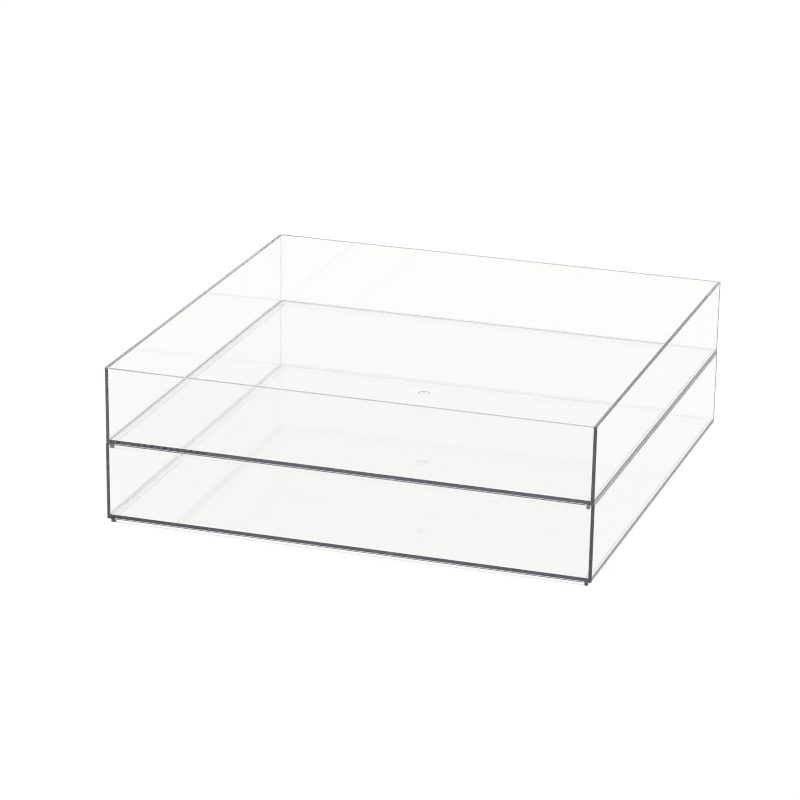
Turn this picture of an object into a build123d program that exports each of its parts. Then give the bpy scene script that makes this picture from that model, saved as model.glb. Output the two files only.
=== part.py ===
from build123d import *
import os

# Two clear craft storage trays, stacked. Each tray is one moulding: a floor, four walls that
# lean out a little so that it leaves its mould, and a foot rib that drops inside the rim of
# the tray below. Origin: the middle of the footprint, on the table. +X right, +Y back, +Z up.

# Outside of one tray, in millimetres
rim_width = 320.0  # over the rim, left to right
rim_depth = 320.0  # over the rim, front to back
wall_height = 50.3  # from the seat under the walls up to the rim

# Walls and floor
wall_thickness = 2.4
wall_lean = 0.3  # how far each wall leans out between its seat and its rim
floor_thickness = 2.9
floor_drop = 0.35  # how far the underside of the floor lies below the seat

# Foot rib, which runs all round under the floor
foot_height = 2.95  # below the seat
foot_thickness = 2.6
nest_clearance = 0.3  # between a foot rib and the walls that it drops between
seat_gap = 0.02  # air left between a seat and the rim it stands on, as neither is dead flat

# Rounded corners and edges
outer_corner_radius = 2.3  # upright corners at the seat
inner_corner_radius = 0.3  # upright corners at the floor
foot_inner_corner_radius = 0.3
rim_edge_radius = 0.3
floor_edge_radius = 0.2  # where the walls meet the floor, inside
seat_edge_radius = 0.3
foot_edge_radius = 0.3

# Mark that the mould's gate leaves under the middle of the floor
gate_dish_diameter = 8.0
gate_dish_depth = 0.6
gate_dish_edge_radius = 0.3
gate_stub_diameter = 3.0
gate_stub_height = 1.3  # down from the roof of the dish
gate_stub_edge_radius = 0.4

# Levels of the tray that stands on the table
table_level = 0.0
seat_level = table_level + foot_height
underside_level = seat_level - floor_drop
floor_level = underside_level + floor_thickness
rim_level = seat_level + wall_height
lean_slope = wall_lean / wall_height

# A tray stands with its seat on the rim of the one below
stack_pitch = wall_height + seat_gap


def leaning_block(width, depth, corner_radius, bottom, top):
    """Block with the given size and corners at the bottom, whose sides lean out by the wall's slope."""
    lean = (top - bottom) * lean_slope
    bottom_outline = RectangleRounded(width, depth, corner_radius)
    top_outline = RectangleRounded(width + 2 * lean, depth + 2 * lean, corner_radius + lean)
    return loft([Pos(0, 0, bottom) * bottom_outline, Pos(0, 0, top) * top_outline], ruled=True)


def edges_at(solid, level):
    """Edges that lie flat at one level."""
    return solid.edges().filter_by_position(Axis.Z, level, level, inclusive=(True, True))


def shell():
    """Floor and four walls."""
    seat_width = rim_width - 2 * wall_lean
    seat_depth = rim_depth - 2 * wall_lean
    outside = leaning_block(seat_width, seat_depth, outer_corner_radius, seat_level, rim_level)
    inside_shrink = 2 * wall_thickness + 2 * (rim_level - floor_level) * lean_slope
    room = leaning_block(
        rim_width - inside_shrink,
        rim_depth - inside_shrink,
        inner_corner_radius,
        floor_level,
        rim_level,
    )
    tray = outside - room
    tray = fillet(edges_at(tray, rim_level), rim_edge_radius)
    tray = fillet(edges_at(tray, floor_level), floor_edge_radius)
    return fillet(edges_at(tray, seat_level), seat_edge_radius)


def foot_rib():
    """Closed rib that fits between the walls of the tray below, with the sunken part of the floor."""
    rib_shrink = 2 * (wall_thickness + nest_clearance) + 2 * foot_height * lean_slope
    rib_width = rim_width - rib_shrink
    rib_depth = rim_depth - rib_shrink
    wall_corner_radius = inner_corner_radius + (rim_level - floor_level) * lean_slope
    rib_corner_radius = wall_corner_radius - nest_clearance - foot_height * lean_slope
    outside = leaning_block(rib_width, rib_depth, rib_corner_radius, table_level, seat_level)
    inside = extrude(
        RectangleRounded(
            rib_width - 2 * foot_thickness,
            rib_depth - 2 * foot_thickness,
            foot_inner_corner_radius,
        ),
        underside_level - table_level,
    )
    rib = outside - inside
    return fillet(edges_at(rib, table_level), foot_edge_radius)


def gate_dish():
    """Shallow round hollow under the middle of the floor."""
    dish = Pos(0, 0, underside_level) * Cylinder(
        gate_dish_diameter / 2,
        gate_dish_depth,
        align=(Align.CENTER, Align.CENTER, Align.MIN),
    )
    return fillet(edges_at(dish, underside_level + gate_dish_depth), gate_dish_edge_radius)


def gate_stub():
    """Short stub in the dish, where the plastic was cut from the gate."""
    stub_level = underside_level + gate_dish_depth - gate_stub_height
    stub = Pos(0, 0, stub_level) * Cylinder(
        gate_stub_diameter / 2,
        gate_stub_height,
        align=(Align.CENTER, Align.CENTER, Align.MIN),
    )
    return fillet(edges_at(stub, stub_level), gate_stub_edge_radius)


def tray():
    """One whole moulding, standing on the table."""
    return shell() + foot_rib() - gate_dish() + gate_stub()


os.makedirs("parts", exist_ok=True)
lower_tray = tray()
upper_tray = Pos(0, 0, stack_pitch) * lower_tray
export_step(lower_tray, "parts/lower_tray.step")
export_step(upper_tray, "parts/upper_tray.step")
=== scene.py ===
import math
import bpy
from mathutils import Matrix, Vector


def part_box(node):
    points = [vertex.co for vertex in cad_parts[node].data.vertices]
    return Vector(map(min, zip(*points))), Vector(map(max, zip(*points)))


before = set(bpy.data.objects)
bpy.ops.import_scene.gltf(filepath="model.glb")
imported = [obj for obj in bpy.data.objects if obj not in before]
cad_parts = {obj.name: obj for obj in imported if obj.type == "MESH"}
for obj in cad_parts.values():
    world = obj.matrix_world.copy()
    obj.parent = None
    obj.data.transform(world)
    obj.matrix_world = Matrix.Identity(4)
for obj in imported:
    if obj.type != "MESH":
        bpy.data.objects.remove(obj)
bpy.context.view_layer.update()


# Lower tray: one injection moulding of clear polystyrene, filled through a gate in the middle of
# its underside. Its walls are bright, with slight marks where such a tray wears: on the foot rib
# that it slides about on, on the rim that carries the next tray, and on the floor.

class Field:
    """A number, colour or direction that changes over a surface: the output socket of a node."""

    def __init__(self, socket):
        self.socket = socket

    def node(self, kind, settings, inputs, output=0):
        """A node of any kind in the same material: its settings first, then values or links."""
        tree = self.socket.id_data
        added = tree.nodes.new(kind)
        for name, value in settings.items():
            setattr(added, name, value)
        for name, value in inputs.items():
            if isinstance(value, Field):
                tree.links.new(value.socket, added.inputs[name])
            else:
                added.inputs[name].default_value = value
        return Field(added.outputs[output])

    def maths(self, operation, first, second=0.0):
        """One operation on numbers, each of which is a field or the same all over."""
        return self.node("ShaderNodeMath", {"operation": operation}, {0: first, 1: second})

    def __add__(self, other):
        return self.maths("ADD", self, other)

    def __mul__(self, other):
        return self.maths("MULTIPLY", self, other)

    def __rsub__(self, other):
        return self.maths("SUBTRACT", other, self)

    def __abs__(self):
        return self.maths("ABSOLUTE", self)

    __radd__ = __add__
    __rmul__ = __mul__

    def part(self, axis):
        """X, Y or Z of a direction or place."""
        return self.node("ShaderNodeSeparateXYZ", {}, {"Vector": self}, axis)

    def rise(self, start, end):
        """0 up to start, 1 from end on, and a smooth rise between them."""
        limits = {"Value": self, "From Min": start, "From Max": end}
        return self.node("ShaderNodeMapRange", {"interpolation_type": "SMOOTHSTEP"}, limits)

    def mix(self, first, second):
        """The first colour where this is 0, the second where it is 1."""
        colours = {"Factor": self, "A": first, "B": second}
        return self.node("ShaderNodeMix", {"data_type": "RGBA"}, colours, "Result")


def clear_polystyrene(tray, seed, absorption, floor_dullness):
    """Clear plastic for one tray, with marks of its own, which goes in the tray's material slots."""
    foot_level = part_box(tray)[0][2]
    underside, floor_top, rim = 0.0026, 0.0055, 0.05325  # heights above the bottom of the foot rib
    inner_half, outer_half = 0.1574, 0.1597  # from the middle to the two faces of a wall
    corner_reach = 0.0016  # how far in from a wall's outer face an upright corner's wear goes

    light_let_through = (0.36, 0.335, 0.415, 1.0)
    fresh_melt, warm_melt = (0.999, 1.0, 0.992, 1.0), (0.997, 0.998, 0.986, 1.0)
    hand_dirt = (0.985, 0.98, 0.95, 1.0)

    # Roughness of each finish
    polish, smudged, floor_scuffed = 0.001, 0.006, 0.003
    foot_worn, rim_worn, corner_worn = 0.16, 0.03, 0.006

    # Heights of the relief, in millimetres
    flow_relief, smudge_relief, scuff_relief, pit_relief = 0.0004, 0.0015, 0.004, 0.004

    plastic = bpy.data.materials.new("clear_polystyrene_" + tray)
    plastic.use_nodes = True
    tree = plastic.node_tree
    shader = tree.nodes["Principled BSDF"]
    shader.inputs["Transmission Weight"].default_value = 1.0
    shader.inputs["IOR"].default_value = 1.59
    depth = tree.nodes.new("ShaderNodeVolumeAbsorption")
    depth.inputs["Color"].default_value = light_let_through
    depth.inputs["Density"].default_value = absorption
    tree.links.new(depth.outputs["Volume"], tree.nodes["Material Output"].inputs["Volume"])

    # Where a point lies on the tray
    place = Field(tree.nodes.new("ShaderNodeTexCoord").outputs["Object"])
    place = place.node("ShaderNodeMapping", {}, {"Vector": place, "Location": (0.0, 0.0, -foot_level)})
    height = place.part("Z")
    across, along = abs(place.part("X")), abs(place.part("Y"))
    outwards = across.maths("MAXIMUM", across, along)
    in_walls = outwards.rise(inner_half, inner_half + 0.0004)
    on_floor = (1 - in_walls) * height.rise(underside - 0.0004, underside - 0.0001)
    on_floor = on_floor * (1 - height.rise(floor_top + 0.0002, floor_top + 0.0008))
    on_foot = 1 - height.rise(0.0001, 0.0006)
    on_rim = height.rise(rim - 0.0005, rim - 0.0001)
    on_corner = across.rise(outer_half - corner_reach, outer_half)
    on_corner = on_corner * along.rise(outer_half - corner_reach, outer_half)

    def noise(step, scale, stretch, detail):
        """Noise over the tray, finer along the axes where stretch is larger."""
        moved = (seed + step, 0.37 * seed - step, 0.11 * seed)
        lay = {"Vector": place, "Location": moved, "Scale": stretch}
        lay = place.node("ShaderNodeMapping", {}, lay)
        return lay.node("ShaderNodeTexNoise", {}, {"Vector": lay, "Scale": scale, "Detail": detail})

    # Smudges from hands, clouds in the melt, and hairline scuffs that run both ways
    smudges = noise(0, 11.0, (1.0, 1.0, 1.6), 4.0)
    clouds = noise(3, 5.0, (1.0, 1.0, 1.0), 2.0)
    scuffs = noise(5, 30.0, (1.0, 25.0, 1.0), 3.0).rise(0.6, 0.7)
    scuffs = scuffs + noise(8, 30.0, (25.0, 1.0, 1.0), 3.0).rise(0.6, 0.7)

    dullness = polish + smudged * smudges.rise(0.45, 0.75)
    dullness = dullness + on_floor * (floor_dullness * (0.6 + 0.8 * smudges) + floor_scuffed * scuffs)
    dullness = dullness + (foot_worn * on_foot + rim_worn * on_rim) * (0.4 + scuffs)
    dullness = dullness + corner_worn * on_corner
    tree.links.new(dullness.socket, shader.inputs["Roughness"])

    # The melt is a little warmer in places, and a trace of dirt clings to the rim and the foot rib
    melt = clouds.rise(0.35, 0.65).mix(fresh_melt, warm_melt)
    dirt = (on_rim + on_foot) * (0.5 + 0.5 * smudges)
    tree.links.new(dirt.mix(melt, hand_dirt).socket, shader.inputs["Base Color"])

    # Flow marks ring the gate, pits lie on the rim, and scuffs cut into the foot rib
    from_gate = place.node("ShaderNodeVectorMath", {"operation": "LENGTH"}, {0: place}, "Value")
    flow = from_gate.maths("SINE", 420.0 * from_gate + 9.0 * clouds)
    pits = noise(13, 260.0, (1.0, 1.0, 1.0), 2.0)
    relief = flow_relief * flow + smudge_relief * smudges
    relief = relief + scuff_relief * on_foot * scuffs + pit_relief * on_rim * pits
    bump = relief.node("ShaderNodeBump", {}, {"Height": relief, "Strength": 1.0, "Distance": 0.001})
    tree.links.new(bump.socket, shader.inputs["Normal"])

    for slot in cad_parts[tray].material_slots:
        slot.material = plastic


clear_polystyrene("lower_tray", seed=2.0, absorption=12.2, floor_dullness=0.05)


# Upper tray: a second moulding of the same shape and plastic. It stands loose on the rim of the
# lower tray, where its foot rib keeps it in line. Its own absorption and floor finish are matched
# to the photograph.

clear_polystyrene("upper_tray", seed=31.0, absorption=11.0, floor_dullness=0.004)


# Table: a plain pale sheet that is lit through from below, like the bed of a light tent, so that
# the clear walls stand against white from every side.

bpy.ops.object.select_all(action="DESELECT")
bpy.ops.mesh.primitive_plane_add(size=20.0, location=(0.0, 0.0, -0.0002))
table = bpy.context.object
table.name = "table"
sheet = bpy.data.materials.new("pale_sheet")
sheet.use_nodes = True
glow = sheet.node_tree.nodes["Principled BSDF"]
glow.inputs["Base Color"].default_value = (0.04, 0.04, 0.04, 1.0)
glow.inputs["Roughness"].default_value = 1.0
glow.inputs["Specular IOR Level"].default_value = 0.0
glow.inputs["Emission Color"].default_value = (1.0, 1.0, 1.0, 1.0)
glow.inputs["Emission Strength"].default_value = 0.97
table.data.materials.append(sheet)


# Light: the white cloth of the tent, equally bright all round. It is reflected many times inside
# the clear walls before it reaches the eye, so long paths are followed.

cloth = bpy.data.worlds.new("light_tent")
cloth.use_nodes = True
cloth.node_tree.nodes["Background"].inputs["Color"].default_value = (1.0, 1.0, 1.0, 1.0)
cloth.node_tree.nodes["Background"].inputs["Strength"].default_value = 1.0
scene = bpy.context.scene
scene.world = cloth
scene.view_settings.view_transform = "Standard"
longest_path = 128
scene.cycles.max_bounces = longest_path
scene.cycles.glossy_bounces = longest_path
scene.cycles.transmission_bounces = longest_path
scene.cycles.transparent_max_bounces = 16
scene.cycles.filter_width = 1.1


# Camera: a long lens a little above the trays, in front and to the right, as in the photograph.

turn = [math.radians(angle) for angle in (71.0173, -0.7914, 18.384)]
bpy.ops.object.camera_add(location=(0.67554, -2.11592, 0.81412), rotation=turn)
camera = bpy.context.object
camera.data.lens = 160.5
camera.data.sensor_width = 36.0
camera.data.clip_end = 50.0
scene.camera = camera
